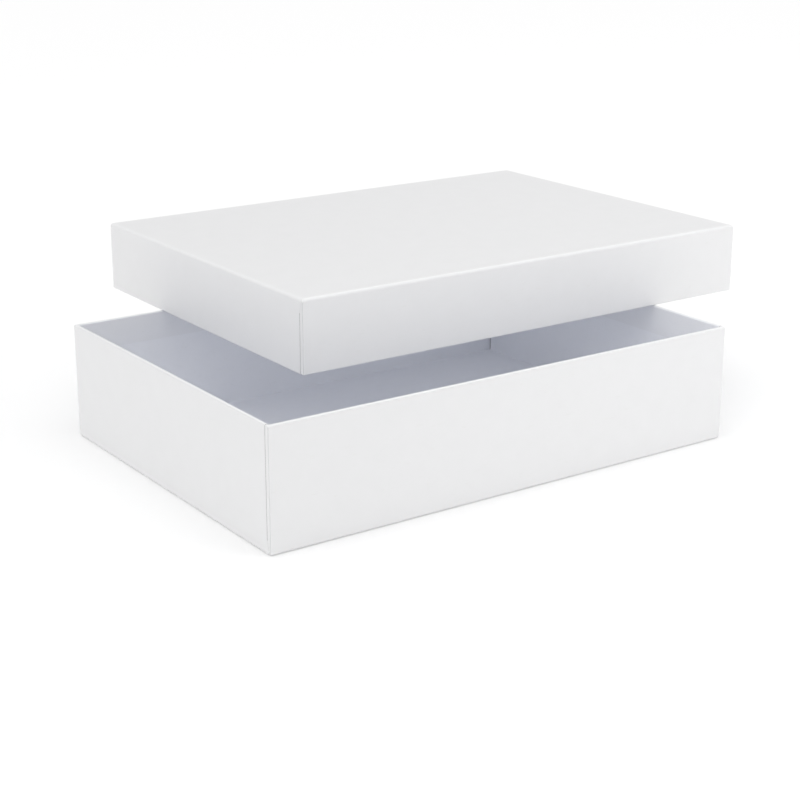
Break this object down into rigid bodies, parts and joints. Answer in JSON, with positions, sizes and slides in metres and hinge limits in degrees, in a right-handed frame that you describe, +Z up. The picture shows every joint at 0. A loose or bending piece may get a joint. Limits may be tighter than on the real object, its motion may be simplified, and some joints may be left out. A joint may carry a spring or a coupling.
{
  "type": "gift box",
  "caption": "Shallow rectangular rigid gift box of paper-covered board with a separate lift-off lid lying ajar on its rim.",
  "frame": {"origin": "middle of the underside of the base", "axes": "+X along the base's long side, +Y along its short side, towards the far side that the open lid is pushed to, +Z up"},
  "size_m": [0.3719, 0.2853, 0.1113],
  "materials": {
    "cover_paper": "satin",
    "lining_paper": "matte",
    "board": "matte",
    "corner_tape": "matte"
  },
  "bodies": {
    "base": {"base_board": "board", "base_corner_tape_1": "corner_tape", "base_corner_tape_2": "corner_tape", "base_corner_tape_3": "corner_tape", "base_corner_tape_4": "corner_tape", "base_cover": "cover_paper", "base_lining": "lining_paper"},
    "lid": {"lid_board": "board", "lid_corner_tape_1": "corner_tape", "lid_corner_tape_2": "corner_tape", "lid_corner_tape_3": "corner_tape", "lid_corner_tape_4": "corner_tape", "lid_cover": "cover_paper", "lid_lining": "lining_paper"}
  },
  "joints": [
    {"name": "lid_lift", "type": "slide", "parent": "base", "child": "lid", "axis": [0, 0, 1], "range_m": [0, 0.12]}
  ]
}
